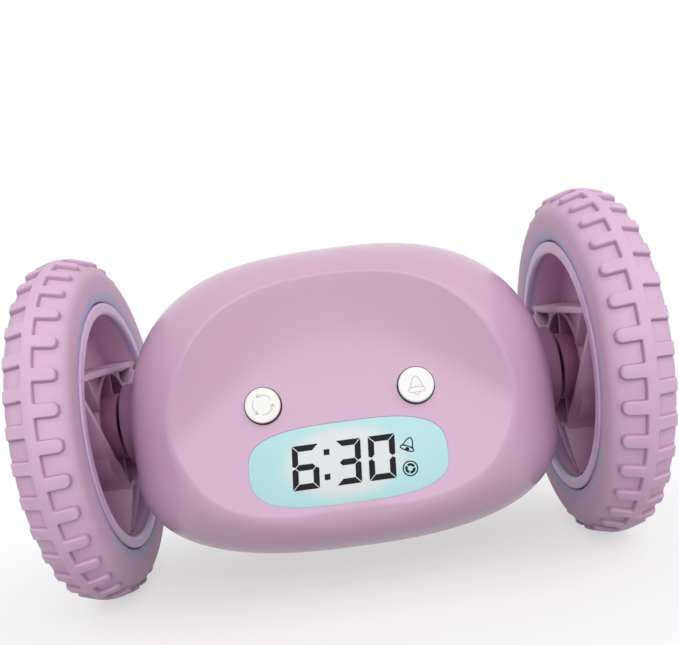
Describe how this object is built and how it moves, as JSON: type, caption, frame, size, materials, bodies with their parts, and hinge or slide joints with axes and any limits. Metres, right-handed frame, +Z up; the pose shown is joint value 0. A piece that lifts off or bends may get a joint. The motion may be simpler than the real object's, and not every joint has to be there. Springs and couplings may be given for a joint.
{
  "type": "runaway alarm clock",
  "caption": "Rounded lavender alarm clock body with a scooped digital face, carried between large lugged wheels driven by motors.",
  "frame": {"origin": "on the floor, midway between the wheels and straight below the axle", "axes": "+Z up, +X along the axle, the clock face looks along -Y"},
  "size_m": [0.142, 0.089, 0.089],
  "materials": {
    "shell_plastic": "gloss, pale pink lavender",
    "tyre_rubber": "satin, pale lavender",
    "rim_plastic": "satin lavender",
    "carrier_plastic": "satin, darker lavender",
    "button_white": "gloss white",
    "window_clear": "gloss, clear with an aqua tint",
    "lcd_glass": "gloss, aqua",
    "light_guide": "satin white",
    "frame_plastic": "matte black",
    "board_green": "satin green",
    "switch_black": "satin black",
    "buzzer_can": "matte black",
    "screw_steel": "zinc plated",
    "cell_can": "satin, plain jacket",
    "contact_metal": "nickel plated",
    "motor_can": "satin metal",
    "gear_nylon": "satin natural white",
    "case_plastic": "matte light grey",
    "bush_plastic": "satin dark grey",
    "axle_steel": "bright drawn"
  },
  "bodies": {
    "chassis": {"axle_bush_left": "bush_plastic", "axle_bush_right": "bush_plastic", "back_board": "board_green", "back_switches": "switch_black", "batteries": "cell_can", "battery_contacts": "contact_metal", "battery_tray": "frame_plastic", "board_screws": "screw_steel", "buzzer": "buzzer_can", "display_window": "window_clear", "front_shell": "shell_plastic", "front_switches": "switch_black", "gear_case_left": "case_plastic", "gear_case_lid_left": "case_plastic", "gear_case_lid_right": "case_plastic", "gear_case_right": "case_plastic", "idler_pin_left": "axle_steel", "idler_pin_right": "axle_steel", "lcd_backlight": "light_guide", "lcd_frame": "frame_plastic", "lcd_panel": "lcd_glass", "main_board": "board_green", "motor_left": "motor_can", "motor_right": "motor_can", "rear_shell": "shell_plastic", "shell_screws": "screw_steel"},
    "run_button": {"run_button": "button_white"},
    "alarm_button": {"alarm_button": "button_white"},
    "hour_button": {"hour_button": "button_white"},
    "minute_button": {"minute_button": "button_white"},
    "clock_button": {"clock_button": "button_white"},
    "alarm_set_button": {"alarm_set_button": "button_white"},
    "battery_door": {"battery_door": "shell_plastic"},
    "wheel_left": {"axle_left": "axle_steel", "output_gear_left": "gear_nylon", "hub_carrier_left": "carrier_plastic", "rim_left": "rim_plastic", "tyre_left": "tyre_rubber", "wheel_screw_left": "screw_steel", "hub_cap_left": "rim_plastic"},
    "idler_left": {"idler_gear_left": "gear_nylon"},
    "motor_pinion_body_left": {"motor_pinion_left": "gear_nylon"},
    "wheel_right": {"axle_right": "axle_steel", "output_gear_right": "gear_nylon", "hub_carrier_right": "carrier_plastic", "rim_right": "rim_plastic", "tyre_right": "tyre_rubber", "wheel_screw_right": "screw_steel", "hub_cap_right": "rim_plastic"},
    "idler_right": {"idler_gear_right": "gear_nylon"},
    "motor_pinion_body_right": {"motor_pinion_right": "gear_nylon"}
  },
  "joints": [
    {"name": "run_button_press", "type": "slide", "parent": "chassis", "child": "run_button", "axis": [0, 0.9563, -0.2924], "range_m": [0, 0.0009], "stiffness_N_per_m": 600, "springref_m": -0.0004},
    {"name": "alarm_button_press", "type": "slide", "parent": "chassis", "child": "alarm_button", "axis": [0, 0.9563, -0.2924], "range_m": [0, 0.0009], "stiffness_N_per_m": 600, "springref_m": -0.0004},
    {"name": "hour_button_press", "type": "slide", "parent": "chassis", "child": "hour_button", "axis": [0, -1, 0], "range_m": [0, 0.0009], "stiffness_N_per_m": 600, "springref_m": -0.0004},
    {"name": "minute_button_press", "type": "slide", "parent": "chassis", "child": "minute_button", "axis": [0, -1, 0], "range_m": [0, 0.0009], "stiffness_N_per_m": 600, "springref_m": -0.0004},
    {"name": "clock_button_press", "type": "slide", "parent": "chassis", "child": "clock_button", "axis": [0, -1, 0], "range_m": [0, 0.0009], "stiffness_N_per_m": 600, "springref_m": -0.0004},
    {"name": "alarm_set_button_press", "type": "slide", "parent": "chassis", "child": "alarm_set_button", "axis": [0, -1, 0], "range_m": [0, 0.0009], "stiffness_N_per_m": 600, "springref_m": -0.0004},
    {"name": "battery_door_release", "type": "slide", "parent": "chassis", "child": "battery_door", "axis": [0, 0, -1], "range_m": [0, 0.007]},
    {"name": "wheel_left_spin", "type": "hinge", "parent": "chassis", "child": "wheel_left", "pos_m": [-0.045, 0, 0.0445], "axis": [1, 0, 0], "continuous": true},
    {"name": "idler_left_spin", "type": "hinge", "parent": "chassis", "child": "idler_left", "pos_m": [-0.031, 0.01174, 0.0488], "axis": [1, 0, 0], "continuous": true},
    {"name": "motor_left_spin", "type": "hinge", "parent": "chassis", "child": "motor_pinion_body_left", "pos_m": [-0.028, 0.0138, 0.0385], "axis": [1, 0, 0], "continuous": true},
    {"name": "wheel_right_spin", "type": "hinge", "parent": "chassis", "child": "wheel_right", "pos_m": [0.045, 0, 0.0445], "axis": [1, 0, 0], "continuous": true},
    {"name": "idler_right_spin", "type": "hinge", "parent": "chassis", "child": "idler_right", "pos_m": [0.031, 0.01174, 0.0488], "axis": [1, 0, 0], "continuous": true},
    {"name": "motor_right_spin", "type": "hinge", "parent": "chassis", "child": "motor_pinion_body_right", "pos_m": [0.028, 0.0138, 0.0385], "axis": [1, 0, 0], "continuous": true}
  ],
  "couplings": [
    {"joint": "idler_left_spin", "follows": "wheel_left_spin", "ratio": -4},
    {"joint": "motor_left_spin", "follows": "wheel_left_spin", "ratio": 12.8},
    {"joint": "idler_right_spin", "follows": "wheel_right_spin", "ratio": -4},
    {"joint": "motor_right_spin", "follows": "wheel_right_spin", "ratio": 12.8}
  ]
}
